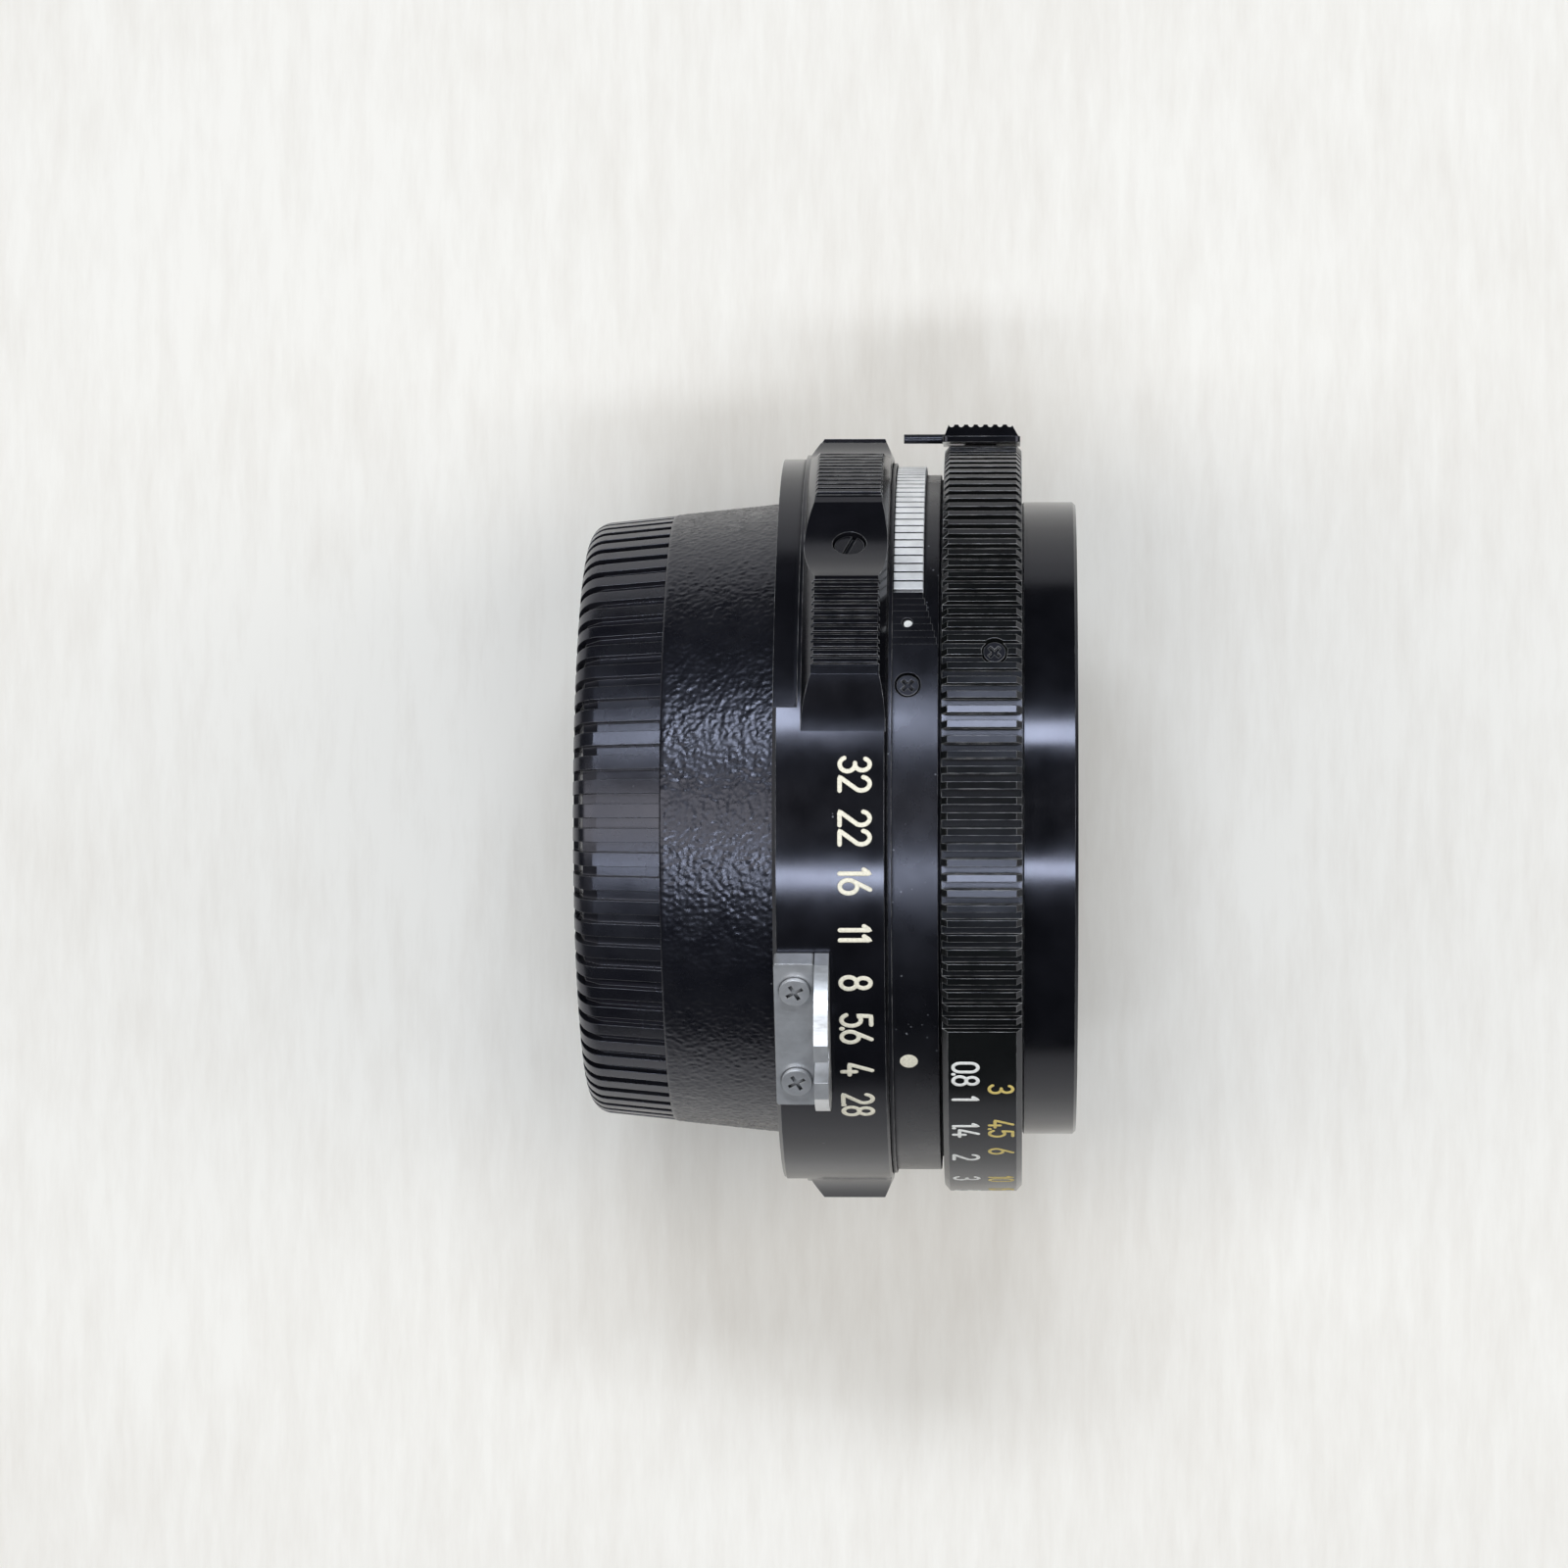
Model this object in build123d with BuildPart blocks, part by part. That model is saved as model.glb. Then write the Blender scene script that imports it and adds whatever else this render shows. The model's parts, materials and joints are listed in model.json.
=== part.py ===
"""A thin 45 mm prime lens with its rear cap, lying on its side.

The origin is on the optical axis, in the seating face of the bayonet flange. +X is the optical
axis, towards the front. A clock angle is counted from +Z towards +Y. Millimetres throughout.
"""
import os
from math import atan2, copysign, cos, degrees, hypot, radians, sin, sqrt

from build123d import *

# Driving dimensions: every X is a station on the axis, every R a radius about it.
EXTENSION = 2.9                 # how far focusing moves the optical barrel
FOCUS_TURN = 70                 # degrees from the near limit to infinity

RING_R, RING_REAR, RING_FRONT = 30.6, -1.45, 7.65
RING_BORE = 28.55
LOBE_R, LOBES, LOBE_PITCH, LOBE_FIRST = 32.0, 8, 33.4, 29.7
LOBE_TOP_ANGLE = 15.2
KNURL_LINES = 12
HOUSING_R, HOUSING_BORE, HOUSING_FRONT = 28.5, 27.2, 11.9
INDEX_R, INDEX_REAR, INDEX_FRONT = 29.6, 7.7, 11.7
INDEX_CENTRE = -41.5            # clock angle of the index dot
BAND_HALF = 69.5                # half the arc of the plain index band
GRIP_HALF = 79.5                # the bright grip starts this far from the index dot
FOCUS_R, FOCUS_BORE, FOCUS_REAR, FOCUS_FRONT = 31.4, 28.2, 12.0, 18.4
SCALE_START, SCALE_END = -33, -120
RIB_PITCH = 2.25
BARREL_R, BARREL_FRONT, FILTER_R = 26.6, 22.9, 25.6
TRIM_R, TRIM_FRONT = 25.3, 20.9
FLANGE_R, FLANGE_T = 29.0, 1.4
TUBE_R, THROAT_R, TUBE_REAR = 21.9, 19.5, -4.6
LUG_R = 23.5
CAP_REAR, CAP_FRONT, CAP_BORE = -17.8, -0.1, 24.0
CAP_RIB_END = -10.7
CAP_RIBS = 80
GUIDE_R, GUIDE_BORE = 23.6, 22.5
CAM_TUBE_R, CAM_TUBE_BORE = 25.0, 23.65
INNER_R, INNER_BORE = 22.45, 21.2
BARREL_REAR = 6.4               # clears the guide tube's flange at infinity
ROLLER_X, ROLLER_R = 10.6, 0.95
ROLLERS = (20, 140, 260)
APERTURE_SCREWS, APERTURE_SCREW_X = (46.4, 146.6, 246.8), 4.46
INDEX_SCREWS, INDEX_SCREW_X = (21, 141, 261), 9.28
FOCUS_SCREWS, FOCUS_SCREW_X = (25.2, 145.2, 265.2), 16.2
GUIDE_SCREWS, GUIDE_SCREW_R = (0, 120, 240), 24.9
FLANGE_SCREWS, FLANGE_SCREW_R = [36 + 72 * i for i in range(5)], 26.2
SMALL_HEAD, LARGE_HEAD = 0.88, 1.20     # radii of the radial screws' heads
HEAD_ROOM = 0.18                # how much wider their counterbores are
STOP_SCREW_X, SPRING_SCREW_X = 11.1, 10.0
STOP_KEY = 185
CLICK_ANGLE, CLICK_X, BALL_R = 75, 6.85, 0.75
COUPLER_ANGLE, COUPLER_TRAVEL = 89, 1.0
PRONG_ANGLE = -33.5

BLADES = 7
PIVOT_R, TAIL_R = 11.6, 13.6
BLADE_IN, BLADE_OUT, BLADE_SPAN = 7.1, 10.6, 135
BLADE_X, BLADE_PITCH, BLADE_T = 12.62, 0.12, 0.08
BLADE_REST = 6.4                # degrees that a blade has closed at rest


def point(angle, radius, x=0.0):
    """The place at a clock angle, a radius and a station."""
    return (x, radius * sin(radians(angle)), radius * cos(radians(angle)))


def radial(angle, radius, x):
    """A plane facing outwards at a clock angle; its local x is the optical axis."""
    outward = (0, sin(radians(angle)), cos(radians(angle)))
    return Plane(origin=point(angle, radius, x), x_dir=(1, 0, 0), z_dir=outward)


def section(x):
    """A plane across the axis: local x is +Y, local y is +Z."""
    return Plane(origin=(x, 0, 0), x_dir=(0, 1, 0), z_dir=(1, 0, 0))


def turned(*outline, mode=Mode.ADD):
    """A solid of revolution about the axis from its half section (station, radius)."""
    with BuildSketch(Plane.XY) as half:
        with BuildLine():
            Polyline(*outline, close=True)
        make_face()
    revolve(half.sketch, axis=Axis.X, mode=mode)


def ring(rear, front, bore, rim, mode=Mode.ADD):
    """A plain ring; a bore of 0 makes a disc."""
    turned((rear, bore), (front, bore), (front, rim), (rear, rim), mode=mode)


def sector(rear, front, bore, rim, start, end, mode=Mode.ADD):
    """Part of a ring between two clock angles."""
    reach = rim * 1.6
    steps = max(2, int((end - start) / 40) + 1)
    with BuildSketch(section(rear)) as arc:
        Circle(rim)
        if bore > 0:
            Circle(bore, mode=Mode.SUBTRACT)
        with BuildSketch(section(rear), mode=Mode.PRIVATE) as wedge:
            with BuildLine():
                angles = [start + (end - start) * i / steps for i in range(steps + 1)]
                rim_points = [(reach * sin(radians(a)), reach * cos(radians(a))) for a in angles]
                Polyline((0, 0), *rim_points, close=True)
            make_face()
        add(wedge.sketch_local, mode=Mode.INTERSECT)
    extrude(arc.sketch, amount=front - rear, dir=(1, 0, 0), mode=mode)


def peg(angle, inner, outer, x, radius, mode=Mode.ADD):
    """A round bar standing radially between two radii."""
    with BuildSketch(radial(angle, inner, x)) as disc:
        Circle(radius)
    extrude(disc.sketch, amount=outer - inner, mode=mode)


def pad(angle, inner, outer, x, length, width, mode=Mode.ADD, corner=0):
    """A radial block: its length is along the axis, its width across it."""
    with BuildSketch(radial(angle, inner, x)) as base:
        if corner:
            RectangleRounded(length, width, corner)
        else:
            Rectangle(length, width)
    extrude(base.sketch, amount=outer - inner, mode=mode)


def rod(angle, radius_at, rear, front, radius, mode=Mode.ADD):
    """A round bar parallel to the axis."""
    with BuildSketch(section(rear)) as disc:
        with Locations((radius_at * sin(radians(angle)), radius_at * cos(radians(angle)))):
            Circle(radius)
    extrude(disc.sketch, amount=front - rear, dir=(1, 0, 0), mode=mode)


def radial_screw(angle, foot, seat, top, x, shank, head, cross=True, turn=0):
    """A pan-head screw standing radially, with a cross or a plain slot."""
    peg(angle, foot, seat, x, shank)
    peg(angle, seat, top, x, head)
    depth = (top - seat) * 0.55
    face = radial(angle, top - depth, x)
    with BuildSketch(face) as slots:
        Rectangle(head * 1.35 if cross else head * 2.1, head * 0.36, rotation=45 + turn)
        if cross:
            Rectangle(head * 0.36, head * 1.35, rotation=45 + turn)
    extrude(slots.sketch, amount=depth * 1.5, mode=Mode.SUBTRACT)


def axial_screw(angle, radius_at, head_x, foot_x, shank, head, head_t):
    """A countersunk screw whose head lies flush at head_x."""
    way = 1 if foot_x > head_x else -1
    at = (radius_at * sin(radians(angle)), radius_at * cos(radians(angle)))
    with BuildSketch(section(head_x)) as top:
        with Locations(at):
            Circle(head)
    with BuildSketch(section(head_x + way * head_t)) as neck:
        with Locations(at):
            Circle(shank)
    loft([top.sketch, neck.sketch])
    low, high = sorted((head_x + way * head_t, foot_x))
    rod(angle, radius_at, low, high, shank)
    with BuildSketch(section(head_x)) as slots:
        with Locations(at):
            Rectangle(head * 1.2, head * 0.3)
            Rectangle(head * 0.3, head * 1.2)
    extrude(slots.sketch, amount=head_t * 0.5, dir=(way, 0, 0), mode=Mode.SUBTRACT)


def sink(angle, radius_at, head_x, foot_x, shank, head, head_t):
    """The countersunk hole for axial_screw."""
    way = 1 if foot_x > head_x else -1
    at = (radius_at * sin(radians(angle)), radius_at * cos(radians(angle)))
    with BuildSketch(section(head_x)) as top:
        with Locations(at):
            Circle(head + 0.02)
    with BuildSketch(section(head_x + way * head_t)) as neck:
        with Locations(at):
            Circle(shank + 0.02)
    loft([top.sketch, neck.sketch], mode=Mode.SUBTRACT)
    low, high = sorted((head_x, foot_x))
    rod(angle, radius_at, low, high, shank + 0.02, mode=Mode.SUBTRACT)


def gear_outline(tip, root, pitch, land, start, end):
    """Corners of a ribbed arc, rib after rib, as (across, up) pairs."""
    count = int((end - start) / pitch)
    corners = []
    for i in range(count):
        left = start + i * pitch
        for angle, radius in ((left, root), (left + pitch * (1 - land), root),
                              (left + pitch * (1 - land), tip), (left + pitch, tip)):
            corners.append((radius * sin(radians(angle)), radius * cos(radians(angle))))
    return corners


def finish(maker, name):
    """Label a finished piece and write it."""
    maker.part.label = name
    export_step(maker.part, f"parts/{name}.step")


os.makedirs("parts", exist_ok=True)

# ------------------------------------------------------------------ the fixed body
SPRING_R = 23.1
LEVER_START, LEVER_SWEEP, LEVER_R = 150, 30, 18.8

with BuildPart() as bayonet_mount:
    turned((0, THROAT_R), (0.25, FLANGE_R - 0.25), (0.25, FLANGE_R), (FLANGE_T, FLANGE_R),
           (FLANGE_T, THROAT_R))
    ring(0, 0.3, THROAT_R, FLANGE_R - 0.3)
    turned((TUBE_REAR + 0.3, THROAT_R), (TUBE_REAR, THROAT_R + 0.3), (TUBE_REAR, TUBE_R - 0.3),
           (TUBE_REAR + 0.3, TUBE_R), (0.1, TUBE_R), (0.1, THROAT_R))
    for i in range(3):
        sector(-3.0, -1.6, TUBE_R - 0.2, LUG_R, 120 * i - 29, 120 * i + 29)
    for angle in FLANGE_SCREWS:
        sink(angle, FLANGE_SCREW_R, 0, FLANGE_T, 0.6, 1.15, 0.7)
    pad(-60, 24.4, 26.6, 0, 2.0, 2.4, mode=Mode.SUBTRACT)
finish(bayonet_mount, "bayonet_mount")

with BuildPart() as bayonet_screws:
    for angle in FLANGE_SCREWS:
        axial_screw(angle, FLANGE_SCREW_R, 0, 2.35, 0.6, 1.15, 0.7)
finish(bayonet_screws, "bayonet_screws")

with BuildPart() as rear_baffle:
    ring(0.2, 1.0, 0, THROAT_R - 0.02)
    with BuildSketch(section(0.1)) as gate:
        RectangleRounded(27, 20, 3)
    extrude(gate.sketch, amount=1.2, dir=(1, 0, 0), mode=Mode.SUBTRACT)
    sector(0.1, 1.1, 17.9, 20, LEVER_START - LEVER_SWEEP - 9, LEVER_START + 9, mode=Mode.SUBTRACT)
finish(rear_baffle, "rear_baffle")

with BuildPart() as fixed_housing:
    ring(FLANGE_T, HOUSING_FRONT, HOUSING_BORE, HOUSING_R)
    ring(FLANGE_T, 2.5, 21.6, HOUSING_BORE + 0.1)
    ring(FLANGE_T - 0.1, 2.2, SPRING_R - 0.5, SPRING_R + 0.5, mode=Mode.SUBTRACT)
    for angle in FLANGE_SCREWS:
        rod(angle, FLANGE_SCREW_R, FLANGE_T - 0.1, 2.4, 0.62, mode=Mode.SUBTRACT)
    for angle in APERTURE_SCREWS:
        sector(3.6, 5.4, HOUSING_BORE - 0.3, HOUSING_R + 0.3, angle - 51, angle + 11,
               mode=Mode.SUBTRACT)
    for angle in INDEX_SCREWS:
        peg(angle, HOUSING_BORE - 0.3, HOUSING_R + 0.3, INDEX_SCREW_X, 0.52, mode=Mode.SUBTRACT)
    for angle in (STOP_KEY - 5.4, STOP_KEY + FOCUS_TURN + 5.4):
        peg(angle, HOUSING_BORE - 0.3, HOUSING_R + 0.3, STOP_SCREW_X, 0.74, mode=Mode.SUBTRACT)
    peg(CLICK_ANGLE, HOUSING_BORE - 0.3, HOUSING_R + 0.3, CLICK_X, BALL_R + 0.05,
        mode=Mode.SUBTRACT)
    peg(CLICK_ANGLE, HOUSING_BORE - 0.3, HOUSING_R - 0.1, SPRING_SCREW_X, 0.5, mode=Mode.SUBTRACT)
    for angle in GUIDE_SCREWS:
        rod(angle, GUIDE_SCREW_R, 2.0, 2.6, 0.42, mode=Mode.SUBTRACT)
finish(fixed_housing, "fixed_housing")

with BuildPart() as stop_down_spring:
    with BuildSketch(Plane.XY) as wire:
        with Locations((1.8, SPRING_R)):
            Circle(0.36)
    revolve(wire.sketch, axis=Axis.X, revolution_arc=300)
finish(stop_down_spring, "stop_down_spring")

with BuildPart() as guide_tube:
    ring(2.5, 15.5, GUIDE_BORE, GUIDE_R)
    ring(2.5, 3.3, 20.0, 27.0)
    for angle in ROLLERS:
        pad(angle, 22, 24, ROLLER_X - EXTENSION / 2, EXTENSION + 2.4, 2 * ROLLER_R + 0.1,
            mode=Mode.SUBTRACT)
    for angle in GUIDE_SCREWS:
        sink(angle, GUIDE_SCREW_R, 3.3, 2.5, 0.4, 0.8, 0.5)
finish(guide_tube, "guide_tube")

with BuildPart() as guide_tube_screws:
    for angle in GUIDE_SCREWS:
        axial_screw(angle, GUIDE_SCREW_R, 3.3, 2.1, 0.4, 0.8, 0.5)
finish(guide_tube_screws, "guide_tube_screws")

RAMP_STEPS, RAMP_SETBACK, RAMP_DROP = 8, 1.25, 0.15
with BuildPart() as index_ring:
    ring(INDEX_REAR, INDEX_FRONT, HOUSING_R, 28.9)
    ring(INDEX_REAR, INDEX_REAR + 0.3, HOUSING_R, 29.9)
    sector(INDEX_REAR, INDEX_FRONT, 28.7, INDEX_R, INDEX_CENTRE - BAND_HALF,
           INDEX_CENTRE + BAND_HALF)
    for side in (-1, 1):
        for i in range(RAMP_STEPS):
            near = BAND_HALF + i * (GRIP_HALF - BAND_HALF) / RAMP_STEPS
            far = near + (GRIP_HALF - BAND_HALF) / RAMP_STEPS
            start, end = sorted((INDEX_CENTRE + side * near, INDEX_CENTRE + side * far))
            share = (i + 1) / RAMP_STEPS
            sector(INDEX_REAR, INDEX_FRONT - RAMP_SETBACK * share, 28.7,
                   INDEX_R - RAMP_DROP * share, start, end)
        peg(INDEX_CENTRE + side * 73.5, 29.2, 30.2, 9.2, 0.45, mode=Mode.SUBTRACT)
    for angle in INDEX_SCREWS:
        peg(angle, 28, 30, INDEX_SCREW_X, 0.52, mode=Mode.SUBTRACT)
        if angle != INDEX_SCREWS[1]:
            peg(angle, 29.0, 30, INDEX_SCREW_X, SMALL_HEAD + HEAD_ROOM, mode=Mode.SUBTRACT)
finish(index_ring, "index_ring")

with BuildPart() as grip_ring:
    first, last = INDEX_CENTRE + GRIP_HALF + 0.1, 360 + INDEX_CENTRE - GRIP_HALF - 0.1
    outline = gear_outline(INDEX_R, INDEX_R - 0.28, 1.9, 0.8, first, last)
    with BuildSketch(section(8.02)) as flutes:
        with BuildLine():
            Polyline((0, 0), *outline, close=True)
        make_face()
        Circle(28.9, mode=Mode.SUBTRACT)
    extrude(flutes.sketch, amount=2.45, dir=(1, 0, 0))
    turned((8.0, 30), (8.0, INDEX_R - 0.25), (8.2, 30), mode=Mode.SUBTRACT)
    turned((10.6, 30), (10.6, INDEX_R - 0.35), (10.2, 30), mode=Mode.SUBTRACT)
    peg(INDEX_SCREWS[1], 28.8, 30, INDEX_SCREW_X, SMALL_HEAD + HEAD_ROOM, mode=Mode.SUBTRACT)
finish(grip_ring, "grip_ring")

with BuildPart() as index_ring_screws:
    for angle in INDEX_SCREWS:
        radial_screw(angle, 27.4, 29.0, 29.45, INDEX_SCREW_X, 0.5, SMALL_HEAD)
finish(index_ring_screws, "index_ring_screws")

with BuildPart() as click_ball:
    with Locations(point(CLICK_ANGLE, 28.0, CLICK_X)):
        Sphere(BALL_R)
finish(click_ball, "click_ball")

with BuildPart() as click_spring:
    sector(6.3, 10.9, 26.98, 27.18, CLICK_ANGLE - 2.6, CLICK_ANGLE + 2.6)
    peg(CLICK_ANGLE, 26, 28, SPRING_SCREW_X, 0.5, mode=Mode.SUBTRACT)
finish(click_spring, "click_spring")

with BuildPart() as click_spring_screw:
    peg(CLICK_ANGLE, 26.5, 26.96, SPRING_SCREW_X, 0.85)
    peg(CLICK_ANGLE, 26.9, 28.3, SPRING_SCREW_X, 0.48)
    pad(CLICK_ANGLE, 26.4, 26.7, SPRING_SCREW_X, 2.0, 0.25, mode=Mode.SUBTRACT)
finish(click_spring_screw, "click_spring_screw")

with BuildPart() as focus_stop_screws:
    for angle in (STOP_KEY - 5.4, STOP_KEY + FOCUS_TURN + 5.4):
        peg(angle, 25.4, HOUSING_R - 0.05, STOP_SCREW_X, 0.72)
        pad(angle, HOUSING_R - 0.4, HOUSING_R + 0.2, STOP_SCREW_X, 2.0, 0.25, mode=Mode.SUBTRACT)
finish(focus_stop_screws, "focus_stop_screws")

with BuildPart() as focus_retaining_ring:
    ring(13.2, 14.2, GUIDE_R, 25.2)
    for i in range(4):
        pad(45 + 90 * i, 24.3, 26, 13.9, 1.2, 1.2, mode=Mode.SUBTRACT)
finish(focus_retaining_ring, "focus_retaining_ring")

# ------------------------------------------------------------------ the aperture ring
SCOOP_R = 13.25
LOBE_REAR, LOBE_FRONT, KNURL_DEPTH = 0.8, 7.6, 0.3
FIRST_SCOOP = LOBE_FIRST - LOBE_PITCH / 2
LAST_SCOOP = FIRST_SCOOP + LOBES * LOBE_PITCH

with BuildPart() as lobe_envelope:
    turned((LOBE_REAR, 29), (LOBE_REAR, RING_R), (LOBE_REAR + 1, LOBE_R + 0.02),
           (LOBE_FRONT - 0.7, LOBE_R + 0.02), (LOBE_FRONT - 0.05, RING_R), (LOBE_FRONT - 0.05, 29))

with BuildPart() as lobes:
    teeth = [(LOBE_R * sin(radians(FIRST_SCOOP)), LOBE_R * cos(radians(FIRST_SCOOP)))]
    for i in range(LOBES):
        left = LOBE_FIRST + LOBE_PITCH * i - LOBE_TOP_ANGLE / 2
        pitch = LOBE_TOP_ANGLE / KNURL_LINES
        teeth += gear_outline(LOBE_R, LOBE_R - KNURL_DEPTH, pitch, 0.55, left,
                              left + LOBE_TOP_ANGLE + 0.01)
    teeth.append((LOBE_R * sin(radians(LAST_SCOOP)), LOBE_R * cos(radians(LAST_SCOOP))))
    with BuildSketch(section(LOBE_REAR)) as outline:
        with BuildLine():
            Polyline(*teeth, close=True)
        make_face()
        for i in range(LOBES + 1):
            middle = radians(FIRST_SCOOP + LOBE_PITCH * i)
            reach = RING_R + SCOOP_R
            with Locations((reach * sin(middle), reach * cos(middle))):
                Circle(SCOOP_R, mode=Mode.SUBTRACT)
        Circle(29.5, mode=Mode.SUBTRACT)
    extrude(outline.sketch, amount=LOBE_FRONT - LOBE_REAR, dir=(1, 0, 0))
    add(lobe_envelope.part, mode=Mode.INTERSECT)
    sector(0.7, 7.8, 28, 34, LAST_SCOOP - 360, FIRST_SCOOP, mode=Mode.SUBTRACT)

with BuildPart() as prong_relief:
    ring(RING_REAR - 1, 0.5, RING_R - 0.35, 34)
    sector(RING_REAR - 2, 1, 20, 36, -80, 16.7, mode=Mode.SUBTRACT)

with BuildPart() as aperture_ring:
    turned((RING_REAR, 29.15), (RING_REAR, RING_R - 0.35), (RING_REAR + 0.3, RING_R),
           (RING_FRONT - 0.2, RING_R), (RING_FRONT, RING_R - 0.2), (RING_FRONT, RING_BORE),
           (1.45, RING_BORE), (1.45, 29.15))
    add(lobes.part)
    add(prong_relief.part, mode=Mode.SUBTRACT)
    ring(CLICK_X - 0.65, CLICK_X + 0.6, RING_BORE - 0.2, 28.85, mode=Mode.SUBTRACT)
    for i in range(8):
        peg(CLICK_ANGLE + 8 * (i - 1), 28, 28.98, CLICK_X, 0.45, mode=Mode.SUBTRACT)
    for angle in APERTURE_SCREWS:
        peg(angle, 28, 31, APERTURE_SCREW_X, 0.72, mode=Mode.SUBTRACT)
        peg(angle, 29.7, 31.5, APERTURE_SCREW_X, LARGE_HEAD + HEAD_ROOM, mode=Mode.SUBTRACT)
    for offset in (-1, 1):
        peg(PRONG_ANGLE + offset * 8.1, 29.3, 31, 0.3, 0.42, mode=Mode.SUBTRACT)
finish(aperture_ring, "aperture_ring")

with BuildPart() as aperture_ring_screws:
    for angle in APERTURE_SCREWS:
        radial_screw(angle, 25.9, 29.7, 30.35, APERTURE_SCREW_X, 0.7, LARGE_HEAD, cross=False, turn=25)
finish(aperture_ring_screws, "aperture_ring_screws")

with BuildPart() as aperture_cam_ring:
    ring(3.5, 5.9, 25.6, 27.1)
    for i in range(12):
        sector(5.8, 6.0 + 0.1 * i, 25.6, 26.4, 290 + 5 * i, 295 + 5 * i)
    for angle in APERTURE_SCREWS:
        peg(angle, 25, 28, APERTURE_SCREW_X, 0.71, mode=Mode.SUBTRACT)
finish(aperture_cam_ring, "aperture_cam_ring")

PRONG_HALF, PRONG_TOP = 6.9, 36.6
across = radial(PRONG_ANGLE, 0, 0)
with BuildPart() as meter_prong:
    pad(PRONG_ANGLE, 29.9, 31.45, 0.275, 3.25, 2 * PRONG_HALF, corner=0.25)
    upright = Plane(origin=(1.9, 0, 0), x_dir=across.y_dir, z_dir=(1, 0, 0))
    lift = 1 if upright.y_dir.dot(across.z_dir) > 0 else -1
    with BuildSketch(upright) as blade_face:
        with BuildLine():
            Line((-PRONG_HALF, lift * 29.9), (PRONG_HALF, lift * 29.9))
            Line((PRONG_HALF, lift * 29.9), (PRONG_HALF, lift * 31.6))
            ThreePointArc((PRONG_HALF, lift * 31.6), (4.9, lift * 34.9), (2.6, lift * PRONG_TOP))
            Line((2.6, lift * PRONG_TOP), (-2.6, lift * PRONG_TOP))
            ThreePointArc((-2.6, lift * PRONG_TOP), (-4.9, lift * 34.9), (-PRONG_HALF, lift * 31.6))
            Line((-PRONG_HALF, lift * 31.6), (-PRONG_HALF, lift * 29.9))
        make_face()
    extrude(blade_face.sketch, amount=1.15, dir=(1, 0, 0))
    ring(-2, 4, 0, RING_R, mode=Mode.SUBTRACT)
    pad(PRONG_ANGLE, 33.4, 38, 2.5, 3, 2.0, mode=Mode.SUBTRACT)
    for offset in (-1, 1):
        peg(PRONG_ANGLE + offset * 8.1, 30, 33, 0.3, 0.42, mode=Mode.SUBTRACT)
finish(meter_prong, "meter_prong")

with BuildPart() as meter_prong_screws:
    for offset in (-1, 1):
        side = radial(PRONG_ANGLE, 31.45, 0.3)
        hub = Plane(origin=side.origin + side.y_dir * offset * 4.42, x_dir=side.x_dir,
                    z_dir=side.z_dir)
        with BuildSketch(hub) as head:
            Circle(1.22)
        extrude(head.sketch, amount=0.5)
        with BuildSketch(hub.offset(0.25)) as slots:
            Rectangle(1.5, 0.32, rotation=30)
            Rectangle(0.32, 1.5, rotation=30)
        extrude(slots.sketch, amount=0.5, mode=Mode.SUBTRACT)
finish(meter_prong_screws, "meter_prong_screws")

# ------------------------------------------------------------------ the focus ring
FOCUS_CHAMFER, RIB_DEPTH = 0.45, 0.5
with BuildPart() as focus_chamfers:
    turned((FOCUS_REAR - 1, 33), (FOCUS_REAR - 1, FOCUS_R - RIB_DEPTH),
           (FOCUS_REAR, FOCUS_R - RIB_DEPTH), (FOCUS_REAR + FOCUS_CHAMFER, FOCUS_R),
           (FOCUS_REAR + FOCUS_CHAMFER, 33))
    turned((FOCUS_FRONT + 1, 33), (FOCUS_FRONT + 1, FOCUS_R - RIB_DEPTH),
           (FOCUS_FRONT, FOCUS_R - RIB_DEPTH), (FOCUS_FRONT - FOCUS_CHAMFER, FOCUS_R),
           (FOCUS_FRONT - FOCUS_CHAMFER, 33))

with BuildPart() as focus_ring:
    rib_end = 360 + SCALE_END
    outline = gear_outline(FOCUS_R, FOCUS_R - RIB_DEPTH, RIB_PITCH, 0.47, SCALE_START, rib_end)
    smooth = [(FOCUS_R * sin(radians(a)), FOCUS_R * cos(radians(a)))
              for a in range(rib_end, 360 + SCALE_START + 1, 3)]
    with BuildSketch(section(FOCUS_REAR)) as profile:
        with BuildLine():
            Polyline(*outline, *smooth[:-1], close=True)
        make_face()
        with BuildSketch(section(FOCUS_REAR), mode=Mode.PRIVATE) as band:
            Circle(FOCUS_R)
            with BuildLine():
                corners = [(50 * sin(radians(a)), 50 * cos(radians(a)))
                           for a in (rib_end, rib_end + 30, rib_end + 60, 360 + SCALE_START)]
                Polyline((0, 0), *corners, close=True)
            make_face(mode=Mode.INTERSECT)
        add(band.sketch_local)
        Circle(FOCUS_BORE, mode=Mode.SUBTRACT)
    extrude(profile.sketch, amount=FOCUS_FRONT - FOCUS_REAR, dir=(1, 0, 0))
    add(focus_chamfers.part, mode=Mode.SUBTRACT)
    for angle in FOCUS_SCREWS:
        peg(angle, 28, 32, FOCUS_SCREW_X, 0.52, mode=Mode.SUBTRACT)
        peg(angle, 30.4, 32, FOCUS_SCREW_X, SMALL_HEAD + HEAD_ROOM, mode=Mode.SUBTRACT)
    pad(COUPLER_ANGLE, 29.6, 32, 14.5, 4.2, 3.0, mode=Mode.SUBTRACT)
finish(focus_ring, "focus_ring")

with BuildPart() as focus_ring_screws:
    for angle in FOCUS_SCREWS:
        radial_screw(angle, 27.2, 30.4, 30.95, FOCUS_SCREW_X, 0.5, SMALL_HEAD)
finish(focus_ring_screws, "focus_ring_screws")

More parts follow.
